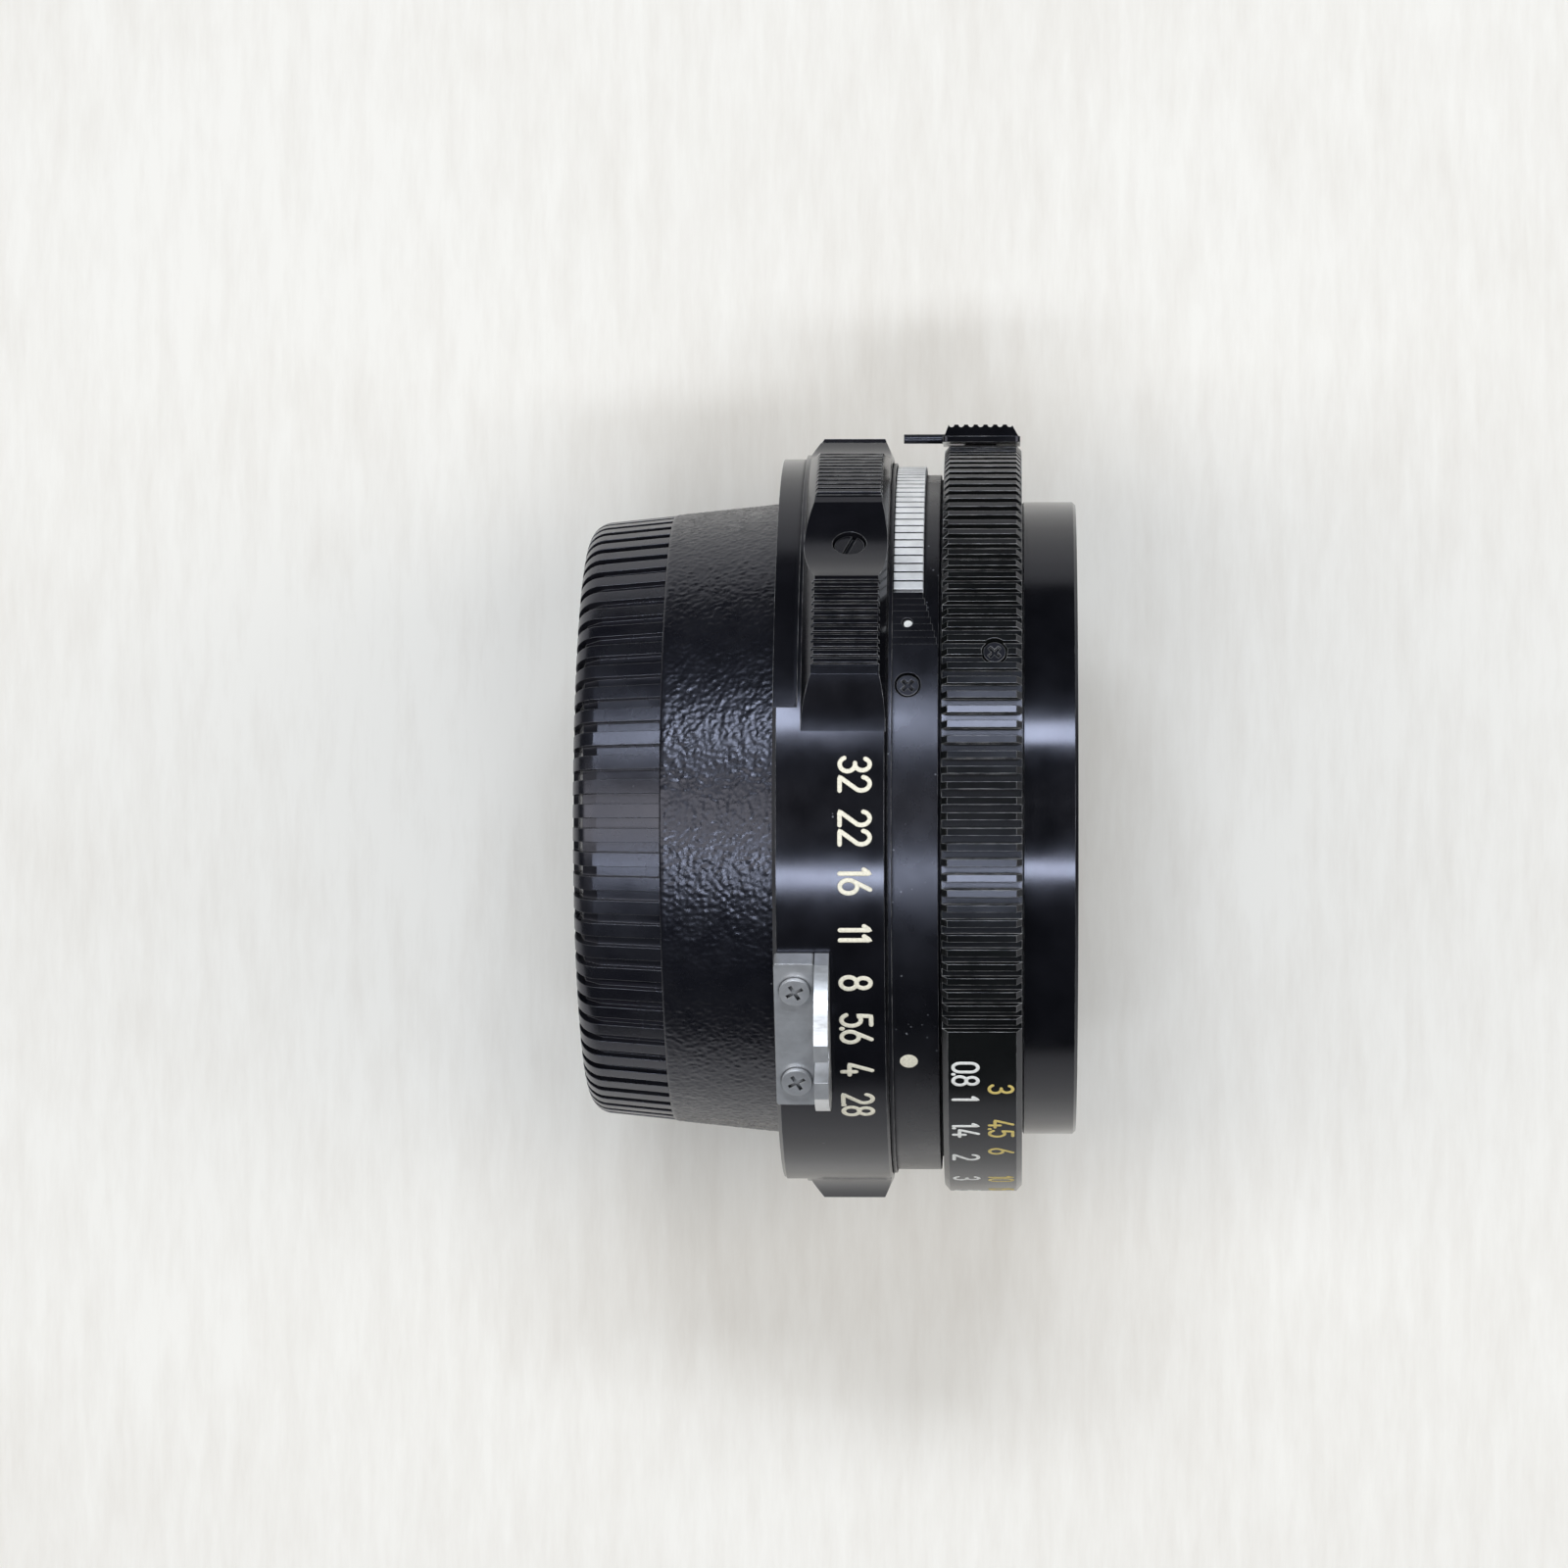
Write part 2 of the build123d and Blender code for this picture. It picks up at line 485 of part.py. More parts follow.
with BuildPart() as focus_carrier:
    ring(12.0, 18.1, 26.85, FOCUS_BORE)
    ring(12.0, 13.15, CAM_TUBE_BORE, 27)
    ring(4.0, 12.1, CAM_TUBE_BORE, CAM_TUBE_R)
    for angle in FOCUS_SCREWS:
        peg(angle, 26.6, 29, FOCUS_SCREW_X, 0.51, mode=Mode.SUBTRACT)
    for angle in ROLLERS:
        steps = 28
        for i in range(steps + 1):
            back = i / steps
            peg(angle - FOCUS_TURN * back, 23.4, 25.3, ROLLER_X - EXTENSION * back,
                ROLLER_R + 0.14, mode=Mode.SUBTRACT)
finish(focus_carrier, "focus_carrier")

with BuildPart() as focus_stop_key:
    sector(10.5, 12.0, 25.3, 26.85, STOP_KEY - 3.2, STOP_KEY + 3.2)
finish(focus_stop_key, "focus_stop_key")

# ------------------------------------------------------------------ the ring coupler
SERRATIONS, SERRATION, SERRATION_R = 7, 0.81, 0.24
coupler_face = radial(COUPLER_ANGLE, 0, 0)
# a plane beside the coupler that looks along its flutes: local x is the axis, local y is outwards
coupler_side = Plane(origin=coupler_face.y_dir * 8, x_dir=(1, 0, 0), z_dir=-coupler_face.y_dir)
with BuildPart() as coupler_slider:
    pad(COUPLER_ANGLE, 31.5, 32.0, 15.05, 6.5, 9.0, corner=0.4)
    with BuildSketch(radial(COUPLER_ANGLE, 31.9, 15.05)) as low:
        Rectangle(6.3, 8.6)
    with BuildSketch(radial(COUPLER_ANGLE, 33.0, 14.95)) as high:
        Rectangle(5.3, 7.2)
    loft([low.sketch, high.sketch])
    with BuildSketch(coupler_side) as flutes:
        for i in range(SERRATIONS):
            with Locations((12.55 + SERRATION * i, 33.02)):
                Circle(SERRATION_R)
    extrude(flutes.sketch, amount=16, mode=Mode.SUBTRACT)
    pad(COUPLER_ANGLE, 29.75, 31.6, 15.0, 2.6, 2.9)
    rod(COUPLER_ANGLE, 31.97, 11.7, 13.5, 0.41, mode=Mode.SUBTRACT)
finish(coupler_slider, "coupler_slider")

with BuildPart() as coupler_pin:
    rod(COUPLER_ANGLE, 31.97, 8.5, 13.45, 0.4)
finish(coupler_pin, "coupler_pin")

# ------------------------------------------------------------------ the optical barrel
with BuildPart() as front_barrel:
    turned((16.4, 25.5), (16.4, BARREL_R - 0.1), (18.5, BARREL_R - 0.1), (18.55, BARREL_R),
           (BARREL_FRONT - 0.25, BARREL_R), (BARREL_FRONT, BARREL_R - 0.25),
           (BARREL_FRONT, FILTER_R + 0.2), (BARREL_FRONT - 0.2, FILTER_R), (TRIM_FRONT, FILTER_R),
           (TRIM_FRONT, TRIM_R + 0.02), (19.9, TRIM_R + 0.02), (19.9, INNER_BORE),
           (18.9, INNER_BORE), (18.9, 25.5))
finish(front_barrel, "front_barrel")

with BuildPart() as inner_barrel:
    ring(BARREL_REAR, 18.9, INNER_BORE, INNER_R)
    ring(11.0, 12.0, 15.15, INNER_BORE + 0.1)
    for angle in ROLLERS:
        peg(angle, 20.5, 23, ROLLER_X, 0.46, mode=Mode.SUBTRACT)
finish(inner_barrel, "inner_barrel")

with BuildPart() as cam_follower_rollers:
    for angle in ROLLERS:
        peg(angle, INNER_R + 0.03, 24.9, ROLLER_X, ROLLER_R)
        peg(angle, 22, 25, ROLLER_X, 0.47, mode=Mode.SUBTRACT)
        peg(angle, 24.3, 25, ROLLER_X, 0.72, mode=Mode.SUBTRACT)
finish(cam_follower_rollers, "cam_follower_rollers")

with BuildPart() as cam_follower_screws:
    for angle in ROLLERS:
        radial_screw(angle, 21.3, 24.3, 24.8, ROLLER_X, 0.45, 0.7, cross=False)
finish(cam_follower_screws, "cam_follower_screws")

CELL_R = 14.9
with BuildPart() as front_trim_ring:
    turned((19.9, TRIM_R), (TRIM_FRONT, TRIM_R), (TRIM_FRONT, TRIM_R - 0.5),
           (20.3, 24.3), (20.3, 15.5), (20.9, 14.2), (20.9, 13.3), (19.9, 13.3))
finish(front_trim_ring, "front_trim_ring")

with BuildPart() as front_mount_plate:
    ring(18.9, 19.9, 13.3, INNER_BORE)
finish(front_mount_plate, "front_mount_plate")

with BuildPart() as front_cell:
    turned((14.4, 9.0), (14.4, 13.25), (20.6, 13.25), (20.6, 11.2), (20.0, 10.55), (17.0, 10.55),
           (17.0, 9.6), (15.6, 9.6), (15.6, 9.05), (15.0, 9.0))
finish(front_cell, "front_cell")


def surface(edge, sag, rim, radius):
    """The station of a spherical surface at a radius, when it meets its rim at edge."""
    curve = (rim ** 2 + sag ** 2) / (2 * sag)
    return edge + sag - curve + copysign(sqrt(curve ** 2 - radius ** 2), curve)


def lens(rear_sag, front_sag, rear, front, rim):
    """A lens from its two edge stations; a positive sag bulges towards the front."""
    with BuildSketch(Plane.XY) as half:
        with BuildLine():
            rear_middle = (surface(rear, rear_sag, rim, rim / 2), rim / 2)
            front_middle = (surface(front, front_sag, rim, rim / 2), rim / 2)
            rear_arc = ThreePointArc((rear + rear_sag, 0), rear_middle, (rear, rim))
            front_arc = ThreePointArc((front + front_sag, 0), front_middle, (front, rim))
            Line(rear_arc @ 0, front_arc @ 0)
            Line(rear_arc @ 1, front_arc @ 1)
        make_face()
    revolve(half.sketch, axis=Axis.X)


with BuildPart() as front_lens_element:
    lens(0.35, 1.9, 17.05, 18.6, 10.5)
finish(front_lens_element, "front_lens_element")

with BuildPart() as front_retaining_ring:
    ring(18.85, 19.5, 9.95, 10.53)
    for angle in (0, 180):
        pad(angle, 9.5, 10.25, 19.5, 0.6, 1.2, mode=Mode.SUBTRACT)
finish(front_retaining_ring, "front_retaining_ring")

with BuildPart() as front_spacer_ring:
    ring(16.3, 17.0, 8.7, 9.58)
finish(front_spacer_ring, "front_spacer_ring")

with BuildPart() as second_lens_element:
    lens(0.35, -0.35, 15.05, 16.2, 8.98)
finish(second_lens_element, "second_lens_element")

with BuildPart() as iris_base_ring:
    ring(12.0, 12.6, BLADE_IN - 0.1, CELL_R + 0.3)
    ring(12.5, 13.94, 14.7, CELL_R + 0.3)
    for i in range(BLADES):
        rod(90 - 360 / BLADES * i, PIVOT_R, 11.9, 12.7, 0.39, mode=Mode.SUBTRACT)
    sector(11.9, 14.0, 14.3, 16, 200, 225, mode=Mode.SUBTRACT)
    sector(11.9, 12.65, 13.2, 14.8, 200, 225, mode=Mode.SUBTRACT)
finish(iris_base_ring, "iris_base_ring")

with BuildPart() as iris_cover_ring:
    ring(13.46, 14.4, BLADE_IN - 0.1, 12.65)
    ring(13.95, 14.4, 12.5, CELL_R + 0.3)
finish(iris_cover_ring, "iris_cover_ring")

with BuildPart() as rear_cell:
    turned((6.6, 8.2), (6.6, 12.6), (11.0, 12.6), (11.0, 15.1), (11.98, 15.1), (11.98, 8.2),
           (11.7, 8.2), (11.7, 8.75), (7.3, 8.75), (7.0, 8.2))
    sector(10.9, 12.1, 13.3, 15.4, 203, 221, mode=Mode.SUBTRACT)
finish(rear_cell, "rear_cell")

with BuildPart() as third_lens_element:
    lens(0.9, -0.4, 9.0, 11.0, 8.72)
finish(third_lens_element, "third_lens_element")

with BuildPart() as fourth_lens_element:
    lens(-0.9, 0.9, 7.6, 9.0, 8.72)
finish(fourth_lens_element, "fourth_lens_element")

with BuildPart() as rear_retaining_ring:
    ring(11.02, 11.68, 8.25, 8.73)
finish(rear_retaining_ring, "rear_retaining_ring")

# ------------------------------------------------------------------ the iris
swing = radians(BLADE_REST)
tail_reach = TAIL_R - PIVOT_R
tail_turn = degrees(atan2(tail_reach * sin(swing), PIVOT_R + tail_reach * cos(swing)))
tail_rest_r = hypot(tail_reach * sin(swing), PIVOT_R + tail_reach * cos(swing))
with BuildPart() as iris_drive_ring:
    ring(13.47, 13.9, 12.7, 14.65)
    for i in range(BLADES):
        # blade angles run from +Y towards +Z, the clock angle the other way
        slot_angle = 90 - (360 / BLADES * i + tail_turn)
        with BuildSketch(section(13.4)) as slot:
            turn = radians(90 - slot_angle)
            with Locations((13.45 * cos(turn), 13.45 * sin(turn))):
                Rectangle(1.0, 0.66, rotation=90 - slot_angle)
        extrude(slot.sketch, amount=0.6, dir=(1, 0, 0), mode=Mode.SUBTRACT)
finish(iris_drive_ring, "iris_drive_ring")

with BuildPart() as iris_drive_arm:
    rod(212, 14.25, 4.4, 13.47, 0.35)
finish(iris_drive_arm, "iris_drive_arm")

for k in range(BLADES):
    rear = BLADE_X + BLADE_PITCH * k
    with BuildPart() as blade:
        with BuildSketch(section(rear)) as leaf:
            with BuildLine():
                outer = CenterArc((0, 0), BLADE_OUT, -4, BLADE_SPAN + 4)
                inner = CenterArc((0, 0), BLADE_IN, -4, BLADE_SPAN + 4)
                Line(outer @ 0, inner @ 0)
                Line(outer @ 1, inner @ 1)
            make_face()
            with Locations(((BLADE_OUT + PIVOT_R) / 2 - 0.3, 0)):
                Rectangle(PIVOT_R - BLADE_OUT + 0.8, 1.1)
            with Locations((PIVOT_R, 0)):
                Circle(0.62)
            with Locations(((PIVOT_R + TAIL_R) / 2, 0)):
                Rectangle(tail_reach, 0.7)
            with Locations((TAIL_R, 0)):
                Circle(0.42)
        extrude(leaf.sketch, amount=BLADE_T, dir=(1, 0, 0))
        with BuildSketch(section(12.05)) as pivot:
            with Locations((PIVOT_R, 0)):
                Circle(0.35)
        extrude(pivot.sketch, amount=rear + BLADE_T / 2 - 12.05, dir=(1, 0, 0))
        with BuildSketch(section(rear + BLADE_T / 2)) as tail:
            with Locations((TAIL_R, 0)):
                Circle(0.28)
        extrude(tail.sketch, amount=13.88 - rear - BLADE_T / 2, dir=(1, 0, 0))
    swung = blade.part.rotate(Axis((0, PIVOT_R, 0), (1, 0, 0)), BLADE_REST)
    placed = swung.rotate(Axis.X, 360 / BLADES * k)
    placed.label = f"iris_blade_{k + 1}"
    export_step(placed, f"parts/iris_blade_{k + 1}.step")

# ------------------------------------------------------------------ the stop-down lever
with BuildPart() as stop_down_ring:
    ring(1.45, 2.45, 20.1, 21.55)
    sector(1.45, 2.45, 18.2, 20.2, LEVER_START - 7, LEVER_START + 7)
finish(stop_down_ring, "stop_down_ring")

with BuildPart() as stop_down_lever:
    sector(-6.2, 1.45, LEVER_R - 0.45, LEVER_R + 0.45, LEVER_START - 5.5, LEVER_START + 5.5)
finish(stop_down_lever, "stop_down_lever")

# ------------------------------------------------------------------ the rear cap
CAP_LAND = 0.43                 # the part of the rib pitch that stands proud
CAP_FACE_R, CAP_FACE_DEPTH = 17.4, 0.3
with BuildPart() as cap_grooves:
    pitch = 360 / CAP_RIBS
    turned((CAP_REAR - 2, 27), (CAP_REAR - 2, 20.5), (CAP_REAR + 0.45, 22.6),
           (CAP_REAR + 0.85, 23.95), (CAP_REAR + 2.0, 24.5), (CAP_RIB_END, 25.05),
           (CAP_RIB_END, 27))
    teeth = []
    for i in range(CAP_RIBS):
        left = i * pitch
        wall = left + pitch * (1 - CAP_LAND)
        for angle, radius in ((left, 19), (wall, 19), (wall, 28), (left + pitch, 28)):
            teeth.append((radius * sin(radians(angle)), radius * cos(radians(angle))))
    with BuildSketch(section(CAP_REAR - 3)) as star:
        with BuildLine():
            Polyline(*teeth, close=True)
        make_face()
    extrude(star.sketch, amount=CAP_RIB_END - CAP_REAR + 3, dir=(1, 0, 0), mode=Mode.INTERSECT)

with BuildPart() as rear_cap:
    with BuildSketch(Plane.XY) as wall:
        with BuildLine():
            Polyline((CAP_FRONT, CAP_BORE), (CAP_FRONT, 26.6), (CAP_RIB_END, 25.5),
                     (CAP_REAR, 24.77), (CAP_REAR, 0), (CAP_REAR + 1.8, 0),
                     (CAP_REAR + 1.8, CAP_BORE), (CAP_FRONT, CAP_BORE))
        make_face()
        fillet(wall.vertices().group_by(Axis.X)[0].sort_by(Axis.Y)[-1], 1.9)
    revolve(axis=Axis.X)
    add(cap_grooves.part, mode=Mode.SUBTRACT)
    ring(CAP_REAR - 1, CAP_REAR + CAP_FACE_DEPTH, 0, CAP_FACE_R, mode=Mode.SUBTRACT)
    for i in range(3):
        sector(-3.4, -0.6, 22.2, CAP_BORE + 0.2, 120 * i + 40, 120 * i + 80)
finish(rear_cap, "rear_cap")
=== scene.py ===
"""Looks for the prime lens: materials, numerals, marks, the grained cap, the floor, lights and camera.

Everything is in metres in the frame's own axes: +X is the optical axis towards the front, +Z is up.
A clock angle is counted from +Z towards +Y, as seen by someone who looks along +X from behind.
"""
import json
from math import cos, degrees, log, pi, radians, sin

import bpy
from mathutils import Matrix, Vector, noise


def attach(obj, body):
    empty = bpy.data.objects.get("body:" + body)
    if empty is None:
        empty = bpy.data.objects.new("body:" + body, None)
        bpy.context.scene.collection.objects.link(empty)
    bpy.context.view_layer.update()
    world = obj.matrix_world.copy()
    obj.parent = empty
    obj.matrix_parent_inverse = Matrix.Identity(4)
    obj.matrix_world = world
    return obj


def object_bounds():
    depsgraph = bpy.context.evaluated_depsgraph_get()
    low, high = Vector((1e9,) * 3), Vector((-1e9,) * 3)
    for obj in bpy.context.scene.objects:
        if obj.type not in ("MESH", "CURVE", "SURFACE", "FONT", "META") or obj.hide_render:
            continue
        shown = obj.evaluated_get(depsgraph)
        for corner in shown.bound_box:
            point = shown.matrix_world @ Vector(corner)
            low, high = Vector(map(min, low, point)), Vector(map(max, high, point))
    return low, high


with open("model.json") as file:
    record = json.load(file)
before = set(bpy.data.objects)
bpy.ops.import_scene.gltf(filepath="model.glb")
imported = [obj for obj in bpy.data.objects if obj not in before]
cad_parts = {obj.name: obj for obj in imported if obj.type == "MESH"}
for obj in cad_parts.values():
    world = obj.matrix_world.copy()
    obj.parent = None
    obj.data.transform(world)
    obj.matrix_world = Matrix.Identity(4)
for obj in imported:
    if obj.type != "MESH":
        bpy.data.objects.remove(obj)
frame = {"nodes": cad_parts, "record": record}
nodes = frame["nodes"]
cad_low, cad_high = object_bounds()
MM = 0.001


def point(angle, radius, x):
    """The place at a clock angle in degrees, a radius and a station."""
    return Vector((x, radius * sin(radians(angle)), radius * cos(radians(angle))))


# ------------------------------------------------------------------ materials

BLUE_SHEEN = (0.80, 0.82, 1.0, 1.0)
FINE_BUMP = 0.01 * MM
# Painted shade for the bottoms of grooves and slots in bright metal.
PAINTED_GROOVE_SHADE = (0.015, 0.015, 0.017)
DUST = (0.16, 0.165, 0.18)
UNEVEN = 0.82


class Shader:
    """A new material with its node tree and short ways to add nodes."""

    def __init__(self, name, color, roughness, metallic=0.0):
        self.material = bpy.data.materials.new(name)
        self.material.use_nodes = True
        self.tree = self.material.node_tree
        self.surface = self.tree.nodes["Principled BSDF"]
        self.set("Base Color", (*color, 1.0))
        self.set("Roughness", roughness)
        self.set("Metallic", metallic)

    def set(self, socket, value):
        self.surface.inputs[socket].default_value = value

    def add(self, kind, **inputs):
        node = self.tree.nodes.new(kind)
        for name, value in inputs.items():
            node.inputs[name.replace("_", " ")].default_value = value
        return node

    def link(self, source, target):
        self.tree.links.new(source, target)

    def drive(self, socket, source):
        self.link(source, self.surface.inputs[socket])

    def place(self):
        return self.add("ShaderNodeTexCoord").outputs["Object"]

    def math(self, operation, first, second=None):
        node = self.add("ShaderNodeMath")
        node.operation = operation
        for socket, value in zip(node.inputs, (first, second)):
            if value is None:
                continue
            if isinstance(value, (int, float)):
                socket.default_value = value
            else:
                self.link(value, socket)
        return node.outputs[0]

    def around_axis(self, along, around, across=0.0):
        """Coordinates that follow a lathe: stretched stations, clock angle and radius."""
        parts = self.add("ShaderNodeSeparateXYZ")
        self.link(self.place(), parts.inputs[0])
        angle = self.math("ARCTAN2", parts.outputs["Y"], parts.outputs["Z"])
        square = self.math("ADD", self.math("POWER", parts.outputs["Y"], 2.0),
                           self.math("POWER", parts.outputs["Z"], 2.0))
        joined = self.add("ShaderNodeCombineXYZ")
        self.link(self.math("MULTIPLY", parts.outputs["X"], along), joined.inputs[0])
        self.link(self.math("MULTIPLY", angle, around), joined.inputs[1])
        self.link(self.math("MULTIPLY", self.math("SQRT", square), across), joined.inputs[2])
        return joined.outputs[0]

    def noise(self, vector, scale, detail=3.0, roughness=0.55):
        node = self.add("ShaderNodeTexNoise", Scale=scale, Detail=detail, Roughness=roughness)
        self.link(vector, node.inputs["Vector"])
        return node.outputs["Fac"]

    def ramp(self, value, *stops):
        """A colour ramp; each stop is (position, colour or grey)."""
        node = self.add("ShaderNodeValToRGB")
        elements = node.color_ramp.elements
        while len(elements) < len(stops):
            elements.new(0.5)
        for element, (position, color) in zip(elements, stops):
            element.position = position
            grey = isinstance(color, (int, float))
            element.color = (color, color, color, 1.0) if grey else (*color, 1.0)
        self.link(value, node.inputs[0])
        return node.outputs[0]

    def bump(self, height, distance, strength=1.0):
        """Shade a height over the bumps that are there already."""
        node = self.add("ShaderNodeBump", Strength=strength, Distance=distance)
        self.link(height, node.inputs["Height"])
        before = self.surface.inputs["Normal"]
        if before.is_linked:
            self.link(before.links[0].from_socket, node.inputs["Normal"])
        self.link(node.outputs[0], before)

    def soften(self, radius):
        """Shade every edge as if rounded; returns a mask that is 1 on the edges."""
        rounded = self.add("ShaderNodeBevel", Radius=radius)
        rounded.samples = 6
        self.drive("Normal", rounded.outputs[0])
        cosine = self.add("ShaderNodeVectorMath")
        cosine.operation = "DOT_PRODUCT"
        self.link(rounded.outputs[0], cosine.inputs[0])
        self.link(self.add("ShaderNodeNewGeometry").outputs["Normal"], cosine.inputs[1])
        turned = self.math("SUBTRACT", 1.0, cosine.outputs["Value"])
        return self.ramp(turned, (0.03, 0.0), (0.14, 1.0))

    def cavities(self, reach):
        """A mask from ambient occlusion that is 1 down in slots and grooves, where shade falls."""
        open_sky = self.add("ShaderNodeAmbientOcclusion", Distance=reach)
        open_sky.samples = 6
        return self.ramp(open_sky.outputs["AO"], (0.45, 1.0), (0.8, 0.0))

    def blend(self, mask, first, second):
        node = self.add("ShaderNodeMix")
        node.data_type = "RGBA"
        self.link(mask, node.inputs[0])
        for socket, value in zip((node.inputs[6], node.inputs[7]), (first, second)):
            if isinstance(value, tuple):
                socket.default_value = (*value, 1.0)
            else:
                self.link(value, socket)
        return node.outputs[2]

    def dust(self, clean, amount):
        """Tiny pale specks in patches over a base colour."""
        cells = self.add("ShaderNodeTexVoronoi", Scale=1500.0)
        self.link(self.place(), cells.inputs["Vector"])
        near = self.ramp(cells.outputs["Distance"], (0.07, 1.0), (0.16, 0.0))
        patches = self.ramp(self.noise(self.place(), 420.0), (amount, 0.0), (amount + 0.06, 1.0))
        mask = self.math("MULTIPLY", near, patches)
        return self.blend(mask, clean, DUST)


def black_anodised(name, low, high, lathe, dusty, tint=(1.0, 1.0, 1.3), edge_wear_and_glint=0.28, tone=0.003,
                   edge=0.07 * MM, threaded=False):
    """Black anodised aluminium: lathe marks, uneven gloss, paler edges that are partly wear and partly a
    painted highlight, rough grooves whose reflections are dimmed as painted shade, a little dust.

    low and high bound its roughness, lathe is how deep the marks are, and a lower dusty gives more dust.
    """
    s = Shader(name, (0.006, 0.006, 0.008), low)
    edges = s.soften(edge)
    patchy = s.ramp(s.noise(s.place(), 800.0, 4.0), (0.35, 0.15), (0.65, 1.0))
    # Paler grey on the edges: partly wear, partly a painted highlight along them.
    rubbed_and_glinting = s.math("MULTIPLY", edges, patchy)
    marks = s.noise(s.around_axis(9000.0, 1.5), 1.0, 2.0)
    smears = s.noise(s.around_axis(260.0, 7.0, 260.0), 1.0, 4.0)
    grooves = s.cavities(0.5 * MM)
    gloss = s.ramp(smears, (0.3, low), (0.75, high))
    s.drive("Roughness", s.math("ADD", gloss, s.math("MULTIPLY", grooves, 0.6)))
    # Painted shade: the reflections are dimmed down in grooves and slots, where ambient occlusion finds
    # them.
    s.drive("Specular IOR Level", s.math("SUBTRACT", 0.42, s.math("MULTIPLY", grooves, 0.34)))
    dark, light = (tuple(grey * t for t in tint) for grey in (tone, 2.3 * tone))
    clean = s.dust(s.ramp(smears, (0.25, dark), (0.8, light)), dusty)
    s.drive("Base Color", s.blend(rubbed_and_glinting, clean, (edge_wear_and_glint, edge_wear_and_glint, edge_wear_and_glint)))
    s.set("Specular Tint", BLUE_SHEEN)
    s.bump(marks, FINE_BUMP, lathe)
    if threaded:
        s.bump(filter_thread(s), 0.12 * MM)
    return s.material


def filter_thread(s):
    """Height of the front thread, which is only on the barrel's inner wall."""
    pitch, crest, first, last = 0.75 * MM, 25.75 * MM, 21.0 * MM, 22.6 * MM
    parts = s.add("ShaderNodeSeparateXYZ")
    s.link(s.around_axis(1.0, 1 / (2 * pi), 1.0), parts.inputs[0])
    turns = s.math("ADD", s.math("DIVIDE", parts.outputs["X"], pitch), parts.outputs["Y"])
    wave = s.math("SINE", s.math("MULTIPLY", turns, 2 * pi))
    inside = s.math("LESS_THAN", parts.outputs["Z"], crest)
    span = s.math("MULTIPLY", s.math("GREATER_THAN", parts.outputs["X"], first),
                  s.math("LESS_THAN", parts.outputs["X"], last))
    return s.math("MULTIPLY", wave, s.math("MULTIPLY", inside, span))


def cap_plastic():
    """Black moulded plastic, a little greasy, with paler edges that are partly rubbed and partly a
    painted highlight.
    """
    low, high = 0.20, 0.34
    s = Shader("cap_plastic", (0.010, 0.010, 0.012), low)
    edges = s.soften(0.08 * MM)
    smears = s.noise(s.place(), 240.0, 4.0)
    s.drive("Roughness", s.ramp(smears, (0.3, low), (0.75, high)))
    tone = s.ramp(smears, (0.3, (0.004, 0.004, 0.006)), (0.8, (0.009, 0.009, 0.011)))
    # Paler grey on the edges: partly wear, partly a painted highlight along them.
    s.drive("Base Color", s.blend(edges, s.dust(tone, 0.68), (0.07, 0.07, 0.07)))
    s.set("Specular IOR Level", 0.75)
    s.set("Specular Tint", BLUE_SHEEN)
    s.bump(s.noise(s.place(), 3200.0, 2.0), FINE_BUMP, 0.4)
    return s.material


def grained_plastic():
    """The cap's skirt: its grain is in the mesh, the fine tooth between is in the bump."""
    s = Shader("cap_grain_plastic", (0.006, 0.006, 0.008), 0.28)
    smears = s.noise(s.place(), 240.0, 4.0)
    tone = s.ramp(smears, (0.3, (0.003, 0.003, 0.005)), (0.8, (0.007, 0.007, 0.009)))
    s.drive("Base Color", s.dust(tone, 0.7))
    s.drive("Roughness", s.ramp(s.noise(s.place(), 500.0, 3.0), (0.3, 0.24), (0.75, 0.34)))
    s.set("Specular IOR Level", 0.65)
    s.set("Specular Tint", BLUE_SHEEN)
    s.bump(s.noise(s.place(), 5200.0, 2.0), FINE_BUMP, 0.7)
    return s.material


def bright_metal(name, color, roughness, along, around, strength, metallic=1.0):
    """Satin plated metal with fine marks along or around the axis, and painted shade darkening its
    grooves.
    """
    s = Shader(name, color, roughness, metallic)
    s.soften(0.06 * MM)
    marks = s.noise(s.around_axis(along, around, along), 1.0, 3.0)
    s.drive("Roughness", s.ramp(marks, (0.25, roughness * 0.8), (0.8, roughness * 1.3)))
    shade = tuple(UNEVEN * c for c in color)
    clean = s.ramp(s.noise(s.place(), 700.0, 4.0), (0.3, shade), (0.6, color))
    # Painted shade: ambient occlusion darkens the colour down in grooves and slots.
    s.drive("Base Color", s.blend(s.cavities(0.35 * MM), clean, PAINTED_GROOVE_SHADE))
    s.bump(marks, FINE_BUMP, strength)
    return s.material


def matt_black():
    """The dull paint of the inner parts, with faint rings."""
    s = Shader("matt_black", (0.008, 0.008, 0.009), 0.6)
    rings = s.noise(s.around_axis(2500.0, 1.0, 2500.0), 1.0, 2.0)
    s.drive("Roughness", s.ramp(rings, (0.3, 0.5), (0.7, 0.72)))
    s.bump(rings, 3 * FINE_BUMP, 0.5)
    return s.material


def paint(name, color):
    """Engraving paint: slightly uneven."""
    s = Shader(name, color, 0.5)
    dark = tuple(UNEVEN * c for c in color)
    s.drive("Base Color", s.ramp(s.noise(s.place(), 5200.0, 3.0), (0.35, dark), (0.6, color)))
    s.bump(s.noise(s.place(), 6000.0), FINE_BUMP, 0.3)
    return s.material


def coated_glass():
    """Clear glass whose reflections are violet, as a single coating's are."""
    s = Shader("coated_glass", (0.96, 0.97, 0.985), 0.01)
    s.set("Transmission Weight", 1.0)
    s.set("IOR", 1.6)
    s.set("Specular Tint", (0.62, 0.45, 1.0, 1.0))
    s.set("Coat Weight", 0.25)
    s.set("Coat Roughness", 0.02)
    s.drive("Roughness", s.ramp(s.noise(s.place(), 900.0), (0.4, 0.004), (0.8, 0.02)))
    return s.material


